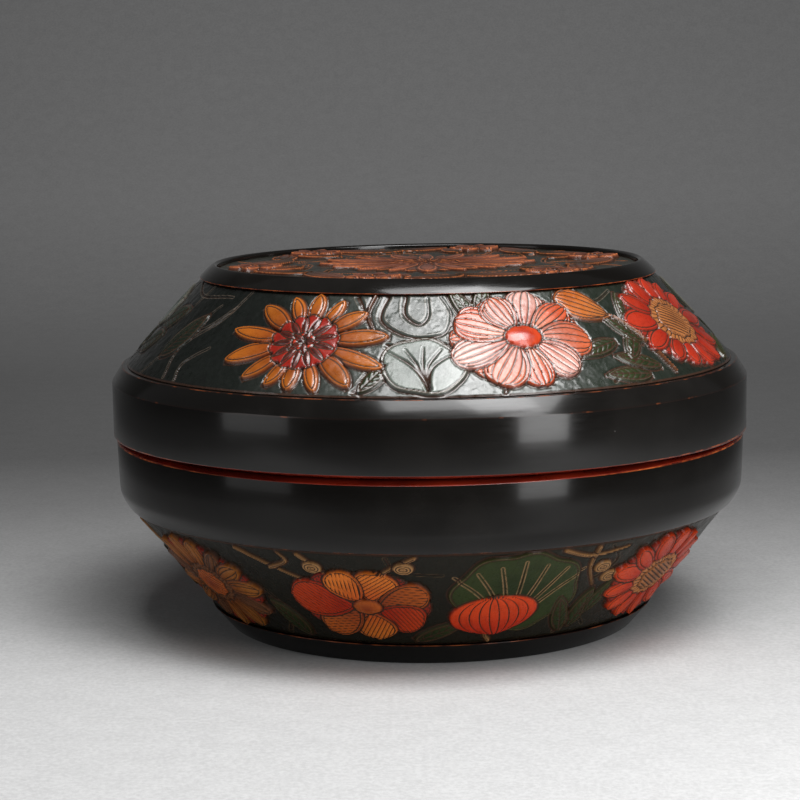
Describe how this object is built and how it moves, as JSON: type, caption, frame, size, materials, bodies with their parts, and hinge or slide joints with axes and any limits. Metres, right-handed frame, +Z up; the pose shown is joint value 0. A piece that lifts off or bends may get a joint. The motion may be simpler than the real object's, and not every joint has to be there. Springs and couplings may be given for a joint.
{
  "type": "round lidded lacquer box",
  "caption": "Round lacquer keepsake box: a lid with a carved shoulder and top lifts straight off a deep base that tapers to a foot ring.",
  "frame": {"origin": "on the floor, at the centre of the foot ring", "axes": "+Z up along the box's axis, the way the lid lifts; -Y towards the side that is pictured; +X to the right of it"},
  "size_m": [0.24, 0.24, 0.137],
  "materials": {
    "black_lacquer": "polished black lacquer on turned wood, with worn red edges",
    "red_lacquer": "satin dark red lacquer on turned wood",
    "carved_lacquer": "thick lacquer coat, carved and coloured, satin dark green-grey ground",
    "carved_top_lacquer": "thick lacquer coat, carved, satin copper brown on grey-green"
  },
  "bodies": {
    "base": {"foot_ring": "black_lacquer", "base_floor_board": "red_lacquer", "base_cone_ring": "red_lacquer", "base_carving": "carved_lacquer", "base_side_ring": "black_lacquer", "base_lip_ring": "red_lacquer"},
    "lid": {"lid_side_ring": "black_lacquer", "lid_shoulder_ring": "red_lacquer", "lid_shoulder_carving": "carved_lacquer", "lid_top_board": "red_lacquer", "lid_top_rim": "black_lacquer", "lid_top_carving": "carved_top_lacquer"}
  },
  "joints": [
    {"name": "lid_lift", "type": "slide", "parent": "base", "child": "lid", "axis": [0, 0, 1], "range_m": [0, 0.16]}
  ]
}
